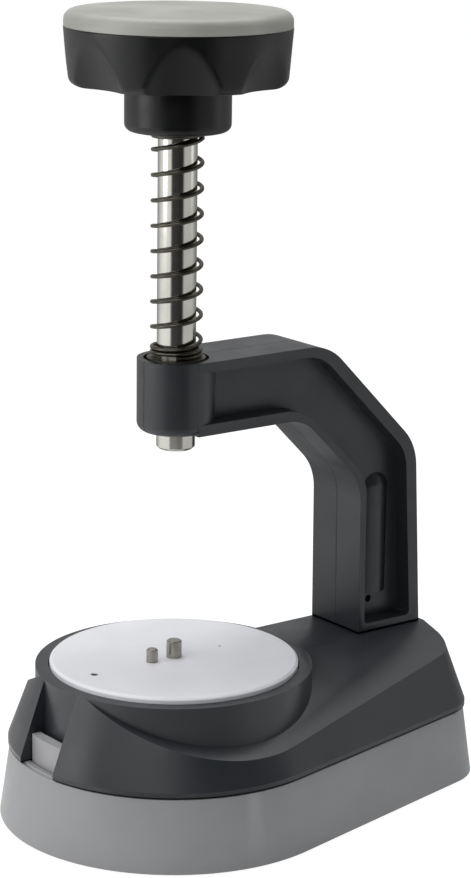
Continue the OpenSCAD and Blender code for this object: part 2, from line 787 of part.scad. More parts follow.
// The cap is a shallow dish turned over, with a ring that fits the knob's hollow
module knob_cap() color("gainsboro") on_ram_axis() {
    r = knob_d / 2 - cap_margin;
    ring_r = bowl_d / 2;
    edge_z = seam_z + cap_h - cap_dome;
    difference() {
        union() {
            rotate_extrude() polygon(rounded(
                [[0, seam_z], [r, seam_z], [r, edge_z], [0, seam_z + cap_h]], [0, 0, cap_round, 0]));
            translate([0, 0, seam_z - cap_spigot]) cylinder(h = cap_spigot + eps, r = ring_r);
        }
        translate([0, 0, seam_z - cap_spigot - eps])
            cylinder(h = cap_spigot + cap_h - cap_dome - cap_t, r = ring_r - cap_t);
    }
}

base_tray();
rubber_feet();
base_cover();
latch_button();
latch_pin();
anvil_disc();
centre_post();
side_post();
press_arm();
column_insert();
column_washer();
column_screw();
upper_bush();
lower_bush();
ram_rod();
retaining_ring();
return_spring();
knob();
knob_washer();
knob_screw();
knob_cap();
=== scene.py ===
# %% [markdown]
# # A watch rotor press
#
# A small hand press: a fluted knob pushes a sprung steel ram down on a white disc, which carries the
# watch part. This lesson starts from the solids of the press, which were drawn in CAD and stand where they
# should, and gives each of them its real edges, its finish and its light. Blender works in metres, so two
# small helpers turn the millimetres of a drawing into metres and back.

# %% Load the solids
import math

import bmesh
import bpy
from mathutils import Matrix, Vector


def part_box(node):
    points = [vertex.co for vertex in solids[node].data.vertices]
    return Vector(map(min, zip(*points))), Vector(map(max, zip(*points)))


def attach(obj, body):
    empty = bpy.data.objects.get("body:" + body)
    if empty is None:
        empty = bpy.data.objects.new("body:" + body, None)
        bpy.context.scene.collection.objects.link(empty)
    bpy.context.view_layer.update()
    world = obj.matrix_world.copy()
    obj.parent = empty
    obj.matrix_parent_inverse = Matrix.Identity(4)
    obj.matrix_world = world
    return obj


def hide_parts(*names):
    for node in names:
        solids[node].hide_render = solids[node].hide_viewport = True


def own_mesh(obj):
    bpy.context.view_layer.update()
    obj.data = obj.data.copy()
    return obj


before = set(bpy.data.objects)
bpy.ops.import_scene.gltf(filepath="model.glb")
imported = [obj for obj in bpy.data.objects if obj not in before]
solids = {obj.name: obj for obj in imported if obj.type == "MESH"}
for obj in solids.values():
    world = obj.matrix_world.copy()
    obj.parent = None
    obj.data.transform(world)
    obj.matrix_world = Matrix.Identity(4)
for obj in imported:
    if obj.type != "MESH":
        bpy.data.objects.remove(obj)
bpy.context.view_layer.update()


def mm(value):
    """Millimetres as metres."""
    return value / 1000


def in_mm(value):
    """Metres as millimetres."""
    return value * 1000


# %% [markdown]
# ## Where the ram stands
#
# Most of the press is turned about one upright line, the axis of the ram. Its place could be typed in, but it
# is better read from the rod, because then it follows the solids if they change. Most of the heights that
# several pieces share are read from the solids in the same way.

# %% Find the ram's axis and the main heights
rod_low, rod_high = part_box("ram_rod")
ram_x = (rod_low.x + rod_high.x) / 2
ram_y = (rod_low.y + rod_high.y) / 2
disc_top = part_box("anvil_disc")[1].z

# heights in millimetres above the bench
disc_z = in_mm(disc_top)
seam = in_mm(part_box("knob")[1].z)               # between the knob and its cap
cover_top = in_mm(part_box("base_cover")[1].z)
tray_top = 19.3                                 # where the base's two shells meet
print("ram axis y:", round(in_mm(ram_y), 2), "mm, disc top:", round(disc_z, 2), "mm")

# %% [markdown]
# ## The camera
#
# The press is seen from its left front, a little from above, through a long lens. A camera's direction is
# three vectors: where it looks, what is right and what is up. Building them from a yaw, a pitch and a roll
# keeps each of the three a plain number that can be tuned alone.

# %% Place the camera
azimuth = math.radians(35.7)        # direction of the camera's place, from +X towards -Y
distance = mm(653.03)               # from the ram's axis, on the level
height = disc_top + mm(223.45)
yaw, pitch, roll = (math.radians(a) for a in (1.345, 14.160, 0.755))
focal_length = 107.88
sensor_height = 36

away = Vector((-math.cos(azimuth), math.sin(azimuth), 0))
across = Vector((math.sin(azimuth), math.cos(azimuth), 0))
level = away * math.cos(yaw) + across * math.sin(yaw)
forward = level * math.cos(pitch) - Vector((0, 0, math.sin(pitch)))
right = forward.cross(Vector((0, 0, 1))).normalized()
up = right.cross(forward)
rolled_right = right * math.cos(roll) + up * math.sin(roll)
rolled_up = up * math.cos(roll) - right * math.sin(roll)

camera_data = bpy.data.cameras.new("camera")
camera_data.sensor_fit = "VERTICAL"
camera_data.sensor_height = sensor_height
camera_data.lens = focal_length
camera_data.clip_end = 10
camera = bpy.data.objects.new("camera", camera_data)
bpy.context.scene.collection.objects.link(camera)
place = Vector((ram_x, ram_y, 0)) - away * distance + Vector((0, 0, height))
turned = Matrix((rolled_right, rolled_up, -forward)).transposed().to_4x4()
camera.matrix_world = Matrix.Translation(place) @ turned
bpy.context.scene.camera = camera
print("camera at", [round(v, 3) for v in place])

# %% [markdown]
# ## The studio
#
# A product picture of this kind is made on a white sweep under large soft boxes. The floor is one sheet of
# paper that climbs behind the press in a curve, so that no horizon shows. It could be a plane and a wall, but
# their corner would be seen as a line.


# %% A helper that adds a mesh to the scene
def add_mesh(name, verts, faces, smooth_angle=35):
    """A smooth shaded piece. Edges that turn by more than smooth_angle, in degrees, stay sharp."""
    mesh = bpy.data.meshes.new(name)
    mesh.from_pydata(verts, [], faces)
    mesh.validate()
    mesh.shade_smooth()
    mesh.set_sharp_from_angle(angle=math.radians(smooth_angle))
    piece = bpy.data.objects.new(name, mesh)
    bpy.context.scene.collection.objects.link(piece)
    return piece


# %% Build the sweep
def white_sweep():
    """A floor along the camera's view that bends up into a backdrop. All its sizes are in metres."""
    front, back, top = -1.6, 1.0, 2.5           # the floor's two ends, and the backdrop's height
    bend, half_width, steps = 0.5, 2.5, 12      # radius of the bend, half the width, faces in the bend
    path = [(front, 0.0), (back, 0.0)]
    for i in range(1, steps + 1):
        a = math.pi / 2 * i / steps
        path.append((back + bend * math.sin(a), bend - bend * math.cos(a)))
    path.append((back + bend, top))
    verts, faces = [], []
    for depth, z in path:
        for side in (-1, 1):
            point = away * depth + across * side * half_width
            verts.append((point.x, point.y, z))
    for i in range(len(path) - 1):
        faces.append((2 * i, 2 * i + 1, 2 * i + 3, 2 * i + 2))
    return add_mesh("sweep", verts, faces)


sweep = white_sweep()
print("sweep has", len(sweep.data.polygons), "faces")

# %% [markdown]
# ### Soft boxes
#
# Black plastic scatters next to no light: its shape is told by what it mirrors. So the lamps are wide
# boxes and not points, and their sides, heights and powers differ, which gives each side of the press its own
# brightness. Each box looks at the middle of the press.


# %% Soft boxes
def soft_box(name, position, size, power):
    """A lamp. position is (right, nearer, up) as the camera sees it, in metres. power is in watts."""
    middle_of_press = Vector((0, 0, 0.1))
    data = bpy.data.lights.new(name, "AREA")
    data.shape = "RECTANGLE"
    data.size, data.size_y = size
    data.energy = power
    lamp = bpy.data.objects.new(name, data)
    bpy.context.scene.collection.objects.link(lamp)
    spot = away * -position[1] + across * position[0] + Vector((0, 0, position[2]))
    aim = (middle_of_press - spot).to_track_quat("-Z", "Y")
    lamp.matrix_world = Matrix.Translation(spot) @ aim.to_matrix().to_4x4()
    print(name, "at", [round(v, 2) for v in spot], "power", power)


soft_box("box_left", (-0.78, 0.22, 0.35), (0.45, 0.9), 3.1)
soft_box("box_right", (0.85, -0.05, 0.40), (0.30, 0.9), 0.6)
soft_box("box_front", (-0.30, 0.72, 0.52), (0.7, 0.35), 2.9)
soft_box("box_top", (0.0, -0.20, 1.0), (0.9, 0.6), 8.7)


# %% [markdown]
# ### The room around
#
# Whatever the lamps and the paper don't fill is the room. It could be one grey, but a real room is darker
# where the camera stands, and the gloss of the knob shows it. So the world's strength falls towards the
# camera's side. The camera itself sees plain white, as in a cleaned product picture.


# %% The room around
def room():
    """The room is dim behind the camera and lighter elsewhere. The camera itself sees it as white."""
    lighter, dim, all_dim_from = 0.18, 0.04, 0.75
    world = bpy.data.worlds.new("studio")
    bpy.context.scene.world = world
    world.use_nodes = True
    tree = world.node_tree
    coords = tree.nodes.new("ShaderNodeTexCoord")
    facing = tree.nodes.new("ShaderNodeVectorMath")
    facing.operation = "DOT_PRODUCT"
    facing.inputs[1].default_value = -away
    tree.links.new(coords.outputs["Generated"], facing.inputs[0])
    strength = tree.nodes.new("ShaderNodeMapRange")
    strength.inputs["From Min"].default_value = 0.0
    strength.inputs["From Max"].default_value = all_dim_from
    strength.inputs["To Min"].default_value = lighter
    strength.inputs["To Max"].default_value = dim
    tree.links.new(facing.outputs["Value"], strength.inputs["Value"])
    path = tree.nodes.new("ShaderNodeLightPath")
    seen = tree.nodes.new("ShaderNodeMix")
    seen.inputs["B"].default_value = 1.0
    tree.links.new(path.outputs["Is Camera Ray"], seen.inputs["Factor"])
    tree.links.new(strength.outputs["Result"], seen.inputs["A"])
    tree.links.new(seen.outputs["Result"], tree.nodes["Background"].inputs["Strength"])
    tree.nodes["Background"].inputs["Color"].default_value = (1, 1, 1, 1)
    print("room:", lighter, "falling to", dim, "behind the camera")


room()
bpy.context.scene.view_settings.view_transform = "Standard"

# %% [markdown]
# ## Finishes
#
# Nothing on this press has one flat colour. A moulded part carries the fine grain that was etched into its
# mould, its gloss changes slowly over a face, and its corners are polished by handling. An image of plastic
# could be wrapped round each piece, but noise that is laid out in the object's own millimetres needs no
# wrapping, and it keeps its real size on every piece. The helpers below each add one node and join it up.


# %% Small helpers for node materials
def new_material(name):
    """A material, its node tree, its main shader and the object's own coordinates."""
    material = bpy.data.materials.new(name)
    material.use_nodes = True
    tree = material.node_tree
    shader = tree.nodes["Principled BSDF"]
    coords = tree.nodes.new("ShaderNodeTexCoord")
    return material, tree, shader, coords


def noise(tree, coords, per_mm, detail, stretch=(1, 1, 1)):
    """Noise with a number of bumps per millimetre, in the object's own space."""
    per_metre = 1000 * per_mm
    mapping = tree.nodes.new("ShaderNodeMapping")
    mapping.inputs["Scale"].default_value = [per_metre * s for s in stretch]
    tree.links.new(coords.outputs["Object"], mapping.inputs["Vector"])
    node = tree.nodes.new("ShaderNodeTexNoise")
    node.inputs["Scale"].default_value = 1.0
    node.inputs["Detail"].default_value = detail
    tree.links.new(mapping.outputs["Vector"], node.inputs["Vector"])
    return node.outputs["Fac"]


def axes(tree, coords):
    """The X, Y and Z of each point, in metres."""
    node = tree.nodes.new("ShaderNodeSeparateXYZ")
    tree.links.new(coords.outputs["Object"], node.inputs[0])
    return node.outputs["X"], node.outputs["Y"], node.outputs["Z"]


def ramp(tree, value, low, high, first, last, shape="SMOOTHSTEP"):
    """A step from first to last while the value goes from low to high."""
    node = tree.nodes.new("ShaderNodeMapRange")
    node.interpolation_type = shape
    node.inputs["From Min"].default_value = low
    node.inputs["From Max"].default_value = high
    node.inputs["To Min"].default_value = first
    node.inputs["To Max"].default_value = last
    tree.links.new(value, node.inputs["Value"])
    return node.outputs["Result"]


def spread(tree, value, low, high):
    """Turns 0.35 to 0.65, where most noise lies, into low to high."""
    return ramp(tree, value, 0.35, 0.65, low, high, "LINEAR")


def calc(tree, operation, *values):
    """One sum in the node tree, of numbers or of other nodes' results."""
    node = tree.nodes.new("ShaderNodeMath")
    node.operation = operation
    for i, value in enumerate(values):
        if isinstance(value, (int, float)):
            node.inputs[i].default_value = value
        else:
            tree.links.new(value, node.inputs[i])
    return node.outputs[0]


def blend_colours(tree, factor, first, second):
    """The first colour where the factor is 0, the second where it is 1. Either may be a node's result."""
    node = tree.nodes.new("ShaderNodeMix")
    node.data_type = "RGBA"
    for socket, colour in (("A", first), ("B", second)):
        if isinstance(colour, bpy.types.NodeSocket):
            tree.links.new(colour, node.inputs[socket])
        else:
            node.inputs[socket].default_value = (*colour, 1)
    tree.links.new(factor, node.inputs["Factor"])
    return node.outputs["Result"]


def bump(tree, height, depth_mm, strength, below=None):
    """Relief of a depth in millimetres, on top of the relief below it."""
    node = tree.nodes.new("ShaderNodeBump")
    node.inputs["Distance"].default_value = mm(depth_mm)
    node.inputs["Strength"].default_value = strength
    tree.links.new(height, node.inputs["Height"])
    if below:
        tree.links.new(below, node.inputs["Normal"])
    return node.outputs["Normal"]


def shade_of(colour, share):
    """A colour made lighter or darker by a factor, and never brighter than 1."""
    return [min(1, c * share) for c in colour]


# %% [markdown]
# ### Moulded plastic
#
# The arm, the knob and the base are injection moulded. Their grain is finer than a millimetre and about two
# hundredths deep. A slow noise moves the colour and bends the face a little, and another one moves the gloss.
# Edges are painted lighter, partly for the wear of handling and partly as a painted highlight along them: the
# Geometry node's Pointiness is high there, and on the knob, which is touched most, the edges are lightened
# most.
#
# Some pieces carry one mark more. A thin dark line, a painted shadow of the narrow gap, is left where two
# shells meet. The arm has a fine raised line along its middle, where the two halves of its mould closed. The
# disc's small drilled holes are painted dark, as painted shade inside them. Each could be modelled, but a
# line of half a millimetre is as well told by the material.


# %% Painted shade in joints and holes, and the mould's parting line
def clear_of_joint_shadow(tree, z, joint):
    """0 on a thin line of painted shadow at the height of a joint, in millimetres, and 1 above and below it.
    """
    dark_within, clear_beyond = 0.50, 0.80
    off = calc(tree, "ABSOLUTE", calc(tree, "SUBTRACT", z, mm(joint)))
    return ramp(tree, off, mm(dark_within), mm(clear_beyond), 0.0, 1.0)


def clear_of_hole_shade(tree, x, y, z, top, radius):
    """0 where shade is painted in the holes of a turned face, 1 at the face's height and outside its radius,
    in mm.
    """
    dark_below, clear_above, rim = 0.6, 0.1, 0.2
    x_squared = calc(tree, "POWER", x, 2.0)
    y_squared = calc(tree, "POWER", calc(tree, "SUBTRACT", y, ram_y), 2.0)
    from_axis = calc(tree, "POWER", calc(tree, "ADD", x_squared, y_squared), 0.5)
    at_top = ramp(tree, z, mm(top - dark_below), mm(top - clear_above), 0.0, 1.0)
    outside = ramp(tree, from_axis, mm(radius - rim), mm(radius), 0.0, 1.0)
    return calc(tree, "MAXIMUM", at_top, outside)


def parting_line(tree, x, below):
    """The line along x = 0 where the mould closed, as relief on top of the relief below it."""
    raised_within, flat_beyond, line_height = 0.06, 0.24, 0.35
    line = ramp(tree, calc(tree, "ABSOLUTE", x), mm(raised_within), mm(flat_beyond), 1.0, 0.0)
    return bump(tree, line, line_height, 1.0, below)


# %% Moulded plastic
def moulded_plastic(name, colour, roughness, grain_depth=0.02, edge=1.25, waves=0.15, ior=1.5,
                    vary=1.0, joint=None, split=False, holes=None):
    """Plastic with grain.

    edge is how much lighter the edges are, partly worn and partly a painted highlight, waves is how deep the
    face bends, in mm, and vary is a share of the usual change of colour. joint is the height of a thin line
    of painted shadow where two parts meet, split adds the mould's parting line, and holes, a height and a
    radius in mm, paints shade into the small holes in a turned face.
    """
    slow_per_mm, gloss_per_mm, grain_per_mm = 0.05, 0.12, 1.6
    lightest, darkest = 0.12 * vary, 0.1 * vary
    gloss_change = 0.04
    wear_and_sheen_from, wear_and_sheen_to = 0.52, 0.62
    black, usual_specular = (0.001, 0.001, 0.001), 0.5

    material, tree, shader, coords = new_material(name)
    x, y, z = axes(tree, coords)
    slow = noise(tree, coords, slow_per_mm, 2.0)
    darker, lighter = shade_of(colour, 1 - darkest), shade_of(colour, 1 + lightest)
    body = blend_colours(tree, spread(tree, slow, 0, 1), darker, lighter)
    geometry = tree.nodes.new("ShaderNodeNewGeometry")
    # edges are lightened partly for wear and partly as a painted highlight
    wear_and_sheen = ramp(tree, geometry.outputs["Pointiness"], wear_and_sheen_from, wear_and_sheen_to, 0.0, 1.0, "LINEAR")
    shown = blend_colours(tree, wear_and_sheen, body, shade_of(colour, edge))

    gloss = noise(tree, coords, gloss_per_mm, 4.0)
    rough = spread(tree, gloss, roughness - gloss_change, roughness + gloss_change)
    tree.links.new(rough, shader.inputs["Roughness"])
    grain = bump(tree, noise(tree, coords, grain_per_mm, 2.0), grain_depth, 0.6)
    surface = bump(tree, slow, waves, 0.25, grain)

    clear = None
    # joint paints a shadow: black without gloss on a thin line at that height, where the gap between parts is
    # in shade
    if joint is not None:
        clear = clear_of_joint_shadow(tree, z, joint)
    # holes paints shade: black without gloss inside the small holes of a turned face
    if holes is not None:
        clear = clear_of_hole_shade(tree, x, y, z, *holes)
    if clear is not None:
        shown = blend_colours(tree, clear, black, shown)
        tree.links.new(calc(tree, "MULTIPLY", clear, usual_specular), shader.inputs["Specular IOR Level"])
    if split:
        surface = parting_line(tree, x, surface)

    tree.links.new(shown, shader.inputs["Base Color"])
    tree.links.new(surface, shader.inputs["Normal"])
    shader.inputs["IOR"].default_value = ior
    return material


# %% The press's plastics
case_black = (0.0145, 0.0168, 0.0205)
knob_black = (0.0020, 0.0023, 0.0028)
disc_face_radius = 29

# the cover and the arm get a thin painted shadow line where each meets the part below
cover_plastic = moulded_plastic("cover_plastic", case_black, 0.36, joint=tray_top)
arm_plastic = moulded_plastic("arm_plastic", case_black, 0.36, joint=cover_top, split=True)
# the knob's edges are lightened most: wear of handling and a painted highlight
knob_plastic = moulded_plastic("knob_plastic", knob_black, 0.33, edge=9.0, ior=1.39)
tray_plastic = moulded_plastic("tray_plastic", (0.25, 0.253, 0.26), 0.45, waves=0.04, vary=0.4)
tab_plastic = moulded_plastic("tab_plastic", (0.30, 0.30, 0.31), 0.42, vary=0.5)
cap_plastic = moulded_plastic("cap_plastic", (0.307, 0.307, 0.283), 0.5)
# the disc's small holes are painted dark as shade
disc_plastic = moulded_plastic("disc_plastic", (0.72, 0.725, 0.76), 0.40, grain_depth=0.012, edge=1.05,
                               waves=0.02, vary=0.25, holes=(disc_z, disc_face_radius))
foot_rubber = moulded_plastic("foot_rubber", (0.02, 0.02, 0.02), 0.75, grain_depth=0.04)
print("plastics ready")

# %% [markdown]
# ### Steel and brass
#
# The rod is ground: its marks run round it and are far finer than a millimetre, so the highlight spreads
# along the rod. Stretching a noise so that it changes quickly along Z and slowly round the rod gives
# those marks. Without the stretch and with more roughness the same recipe is a plain turned face, and in a
# dark colour it is oiled wire.


# %% Metal
def metal(name, colour, roughness, stretch=(1, 1, 1), depth=0.004, variation=0.12):
    """Metal with fine marks. stretch sets how quickly they change along X, Y and Z."""
    marks_per_mm, slow_per_mm = 4.0, 0.15
    material, tree, shader, coords = new_material(name)
    marks = noise(tree, coords, marks_per_mm, 3.0, stretch)
    slow = noise(tree, coords, slow_per_mm, 3.0)
    darker, lighter = shade_of(colour, 1 - variation), shade_of(colour, 1 + variation)
    shown = blend_colours(tree, spread(tree, slow, 0, 1), darker, lighter)
    tree.links.new(shown, shader.inputs["Base Color"])
    tree.links.new(spread(tree, marks, roughness * 0.8, roughness * 1.25), shader.inputs["Roughness"])
    tree.links.new(bump(tree, marks, depth, 0.5), shader.inputs["Normal"])
    shader.inputs["Metallic"].default_value = 1.0
    return material


ground_steel = metal("ground_steel", (0.50, 0.49, 0.455), 0.14, (0.15, 0.15, 3.0), 0.002, 0.06)
turned_steel = metal("turned_steel", (0.11, 0.105, 0.088), 0.48)
post_steel = metal("post_steel", (0.36, 0.345, 0.31), 0.24, (1, 1, 3.0))
spring_wire = metal("spring_wire", (0.085, 0.079, 0.064), 0.34, depth=0.006)
zinc_steel = metal("zinc_steel", (0.55, 0.55, 0.56), 0.32)
turned_brass = metal("turned_brass", (0.70, 0.52, 0.22), 0.28, (0.3, 0.3, 2.0))
print("metals ready")

# %% [markdown]
# ### White paper
#
# The sweep looks white to the camera and keeps the soft shadow of the press. What the steel and the gloss of
# the plastic mirror of it is another matter: the paper is bright on both sides of the press and dark in front
# of it, where whoever takes the picture stands in the light. That dark gap makes the dark stripe along the
# rod. It could be a black card in the set, but a card would also shade the press. The Light Path node tells
# the camera's rays from mirrored ones, so each can be given its own brightness.


# %% The sweep's white
def reflected_brightness(tree, coords):
    """How bright each place of the sweep is when the steel or the gloss mirrors it."""
    heading = tree.nodes.new("ShaderNodeVectorMath")
    heading.operation = "NORMALIZE"
    tree.links.new(coords.outputs["Object"], heading.inputs[0])
    far = tree.nodes.new("ShaderNodeVectorMath")
    far.operation = "LENGTH"
    tree.links.new(coords.outputs["Object"], far.inputs[0])

    def towards(direction):
        """1 where the paper lies in that direction from the press, -1 where it lies the other way."""
        dot = tree.nodes.new("ShaderNodeVectorMath")
        dot.operation = "DOT_PRODUCT"
        dot.inputs[1].default_value = direction
        tree.links.new(heading.outputs["Vector"], dot.inputs[0])
        return dot.outputs["Value"]

    # the paper glows with this brightness only in mirrored rays, as a painted reflection; close is a brighter
    # painted pool round the press
    # each ramp goes from one brightness to another between two directions, distances or heights, in metres
    gap = ramp(tree, towards(-away), 0.74, 0.88, 1.0, 0.05)
    close = ramp(tree, far.outputs["Value"], 0.24, 0.44, 0.6, 0.0)
    rear = ramp(tree, towards(-away), -0.9, -0.1, 0.35, 1.0)
    side = ramp(tree, towards(across), -0.4, 0.4, 1.30, 0.80)
    wall = ramp(tree, axes(tree, coords)[2], 0.05, 0.30, 0.0, 0.17)
    around = calc(tree, "MULTIPLY", rear, side)
    floor = calc(tree, "MULTIPLY", calc(tree, "MAXIMUM", gap, close), around)
    return calc(tree, "ADD", floor, wall)


def paper_white():
    """White for the camera. In reflections it is bright at the sides and dark in front."""
    camera_strength, camera_share = 1.15, 0.8
    material, tree, shader, coords = new_material("paper_white")
    fibres = noise(tree, coords, 0.05, 3.0)
    white = blend_colours(tree, fibres, (0.93, 0.93, 0.93), (0.95, 0.95, 0.95))
    tree.links.new(white, shader.inputs["Base Color"])
    shader.inputs["Roughness"].default_value = 0.9

    path = tree.nodes.new("ShaderNodeLightPath")
    for_camera, mirrored = path.outputs["Is Camera Ray"], path.outputs["Is Glossy Ray"]
    # in mirrored rays the paper glows, which is painted light and not lamp light
    shine = tree.nodes.new("ShaderNodeEmission")
    to_camera = calc(tree, "MULTIPLY", for_camera, camera_strength)
    bright = reflected_brightness(tree, coords)
    tree.links.new(calc(tree, "MULTIPLY_ADD", mirrored, bright, to_camera), shine.inputs["Strength"])
    mix = tree.nodes.new("ShaderNodeMixShader")
    share = calc(tree, "MULTIPLY_ADD", for_camera, camera_share, mirrored)
    tree.links.new(share, mix.inputs["Fac"])
    tree.links.new(shader.outputs[0], mix.inputs[1])
    tree.links.new(shine.outputs[0], mix.inputs[2])
    tree.links.new(mix.outputs[0], tree.nodes["Material Output"].inputs["Surface"])
    return material


sweep.data.materials.append(paper_white())
print("the sweep is", sweep.data.materials[0].name)

# %% [markdown]
# ## Softening an edge
#
# No moulded edge is sharp: the mould's own corners are rounded, and plastic shrinks. A solid from CAD can be
# softened by a Bevel modifier. It needs clean faces, so the triangles that lie in one plane are
# first joined, and then only the edges that turn by more than a given angle are bevelled. A weight on each
# edge makes some rounder than others, and a second modifier keeps the large faces flat in the light.


# %% A clean copy of a solid
def clean_copy(node, name, weigh):
    """A copy of a solid with large flat faces and a bevel weight on each edge that is to be rounded."""
    same_point = mm(0.002)
    same_plane, turns, smooth_below = 0.6, 28, 34       # angles between faces, in degrees
    bm = bmesh.new()
    bm.from_mesh(solids[node].data)
    bmesh.ops.remove_doubles(bm, verts=bm.verts, dist=same_point)
    bmesh.ops.dissolve_limit(bm, angle_limit=math.radians(same_plane), verts=bm.verts, edges=bm.edges)
    weights = bm.edges.layers.float.new("bevel_weight_edge")
    for edge in bm.edges:
        if len(edge.link_faces) == 2 and edge.calc_face_angle(0) > math.radians(turns):
            middle = (edge.verts[0].co + edge.verts[1].co) / 2
            from_ram = in_mm(middle) - Vector((0, in_mm(ram_y), 0))
            edge[weights] = weigh(*from_ram) if weigh else 1.0
    for edge in bm.edges:
        edge.smooth = edge[weights] > 0 or edge.calc_face_angle(0) < math.radians(smooth_below)
    for face in bm.faces:
        face.smooth = True
    mesh = bpy.data.meshes.new(name)
    bm.to_mesh(mesh)
    bm.free()
    piece = bpy.data.objects.new(name, mesh)
    bpy.context.scene.collection.objects.link(piece)
    return piece


# %% A softened copy of a solid
def softened(node, name, radius, weigh=None):
    """A copy of a solid with rounded edges. weigh(x, y, z) gives an edge's share of the radius."""
    piece = clean_copy(node, name, weigh)
    bevel = piece.modifiers.new("soft edges", "BEVEL")
    bevel.width = mm(radius)
    bevel.segments = 3
    bevel.limit_method = "WEIGHT"
    bevel.miter_outer = "MITER_ARC"
    flat = piece.modifiers.new("flat faces", "WEIGHTED_NORMAL")
    flat.keep_sharp = True
    flat.weight = 100
    evaluated = piece.evaluated_get(bpy.context.evaluated_depsgraph_get())
    final = bpy.data.meshes.new_from_object(evaluated)
    piece.modifiers.clear()
    piece.data = final
    return piece


# %% Finish a piece
def finish_piece(piece, body, material, slot, *nodes):
    """Gives a piece its finish and joins it to its body, in place of its solids."""
    piece.data.materials.clear()
    piece.data.materials.append(material)
    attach(piece, body)
    if nodes:
        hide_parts(*nodes)
    print(piece.name, "has", len(piece.data.polygons), "faces and rides on", body)
    return piece


# %% [markdown]
# ## The base
#
# The base is two shells. The grey tray stands on the bench, and the black cover closes it and holds the disc
# in its round turret. Both are drafted so that they leave their moulds. Their edges are rounded by about half
# a millimetre, which is too little to draw in CAD and just enough to catch the light, so a softened copy
# of each solid is made.

# %% Tray, cover and tab
tray = softened("base_tray", "tray_shell", 0.5)
finish_piece(tray, "stand", tray_plastic, "tray_plastic", "base_tray")
cover = softened("base_cover", "cover_shell", 0.45)
finish_piece(cover, "stand", cover_plastic, "black_plastic", "base_cover")
tab = softened("latch_button", "latch_tab", 0.35)
finish_piece(tab, "latch", tab_plastic, "tab_plastic", "latch_button")

# %% [markdown]
# ## The arm
#
# The arm is one moulding: a head round the ram, a beam, a bend and a column, with a deep recess in each side
# that leaves a web and a rim. Its edges could all be equally round, but on the real arm they are not. The
# floor of the recess and the rim's edges towards the work space, which a hand meets, are the roundest. The
# other outer edges are a little tighter, and the walls of the recess and the bushes' seats are almost
# crisp. What lies hidden in the foot and inside the head stays as it is.

# %% How round the arm's edges are
arm_radius = 1.1                # of the roundest edges, in mm
hidden_foot = cover_top + 0.3   # below this height the arm stands in the cover
hidden_bore, bush_seat = 9, 10.3
web_inside, recess_floor, recess_wall = 3.6, 5.2, 9.6
boss_y, boss_reach, boss_top = 62.9, 5, 88
bend_sum, column_face, beam_underside = 139, 57, 104.5


def arm_edge(x, y, z):
    """An edge's share of arm_radius. All is in mm: x and y from the ram's axis, z from the bench."""
    from_axis = math.hypot(x, y)
    if z < hidden_foot or from_axis < hidden_bore:
        return 0
    if from_axis < bush_seat:
        return 0.4
    if abs(x) < web_inside:
        return 0
    if abs(x) < recess_floor:
        at_boss = abs(y - boss_y) < boss_reach and z < boss_top
        return 0.2 if at_boss else 1.0
    if abs(x) < recess_wall:
        return 0.3
    faces_work = y + z < bend_sum and y < column_face and z < beam_underside
    return 1.0 if faces_work else 0.6


# %% Arm
arm = softened("press_arm", "arm_moulding", arm_radius, arm_edge)
finish_piece(arm, "stand", arm_plastic, "black_plastic", "press_arm")

# %% [markdown]
# ## Turned pieces
#
# Rod, posts and cap are all round about one line. A cylinder with a bevel would do for the rod, but a lathe
# does for all of them: a profile of radii and heights is spun about the axis. The profile's corners are
# rounded by an arc each, as a lathe tool or a mould leaves them.


# %% A profile with rounded corners
def rounded(points, radii, steps=6):
    """Replaces each corner of a line of (radius, height) points by an arc."""
    path = []
    for i, (point, r) in enumerate(zip(points, radii)):
        p = Vector(point)
        if not r or i in (0, len(points) - 1):
            path.append(p)
            continue
        u = (Vector(points[i - 1]) - p).normalized()
        v = (Vector(points[i + 1]) - p).normalized()
        half = u.angle(v) / 2
        centre = p + (u + v).normalized() * r / math.sin(half)
        start = p + u * r / math.tan(half) - centre
        end = p + v * r / math.tan(half) - centre
        for k in range(steps + 1):
            spoke = start.lerp(end, k / steps).normalized() * r
            path.append(centre + spoke)
    return path


# %% The lathe
def join_rings(rings, segments):
    """The faces between closed rings of points that follow each other."""
    faces = []
    for i in range(rings - 1):
        for k in range(segments):
            n = (k + 1) % segments
            a, b = i * segments, (i + 1) * segments
            faces.append((a + k, a + n, b + n, b + k))
    return faces


def weld(piece):
    """Joins the points of a ring that has shrunk to the axis, and turns all faces outwards."""
    bm = bmesh.new()
    bm.from_mesh(piece.data)
    bmesh.ops.remove_doubles(bm, verts=bm.verts, dist=mm(0.001))
    bmesh.ops.recalc_face_normals(bm, faces=bm.faces)
    bm.to_mesh(piece.data)
    bm.free()


def lathe(name, profile, segments=96, centre=None):
    """Spins a profile of (radius, height), in millimetres, about an upright axis."""
    sharp_above = 30
    cx, cy = centre or (ram_x, ram_y)
    verts = []
    for r, z in profile:
        for k in range(segments):
            a = 2 * math.pi * k / segments
            verts.append((cx + mm(r) * math.cos(a), cy + mm(r) * math.sin(a), mm(z)))
    piece = add_mesh(name, verts, join_rings(len(profile), segments), sharp_above)
    weld(piece)
    piece.data.set_sharp_from_angle(angle=math.radians(sharp_above))
    return piece


# %% Rod
tip, rod_end = in_mm(rod_low.z), in_mm(rod_high.z)
rod_r, tip_r, tip_bevel = 5, 4.3, 0.7
rod_line = [(0, tip), (tip_r, tip), (rod_r, tip + tip_bevel), (rod_r, rod_end), (0, rod_end)]
rod = lathe("rod", rounded(rod_line, [0, 0.15, 0.15, 0, 0]))
finish_piece(rod, "ram", ground_steel, "rod_steel", "ram_rod")


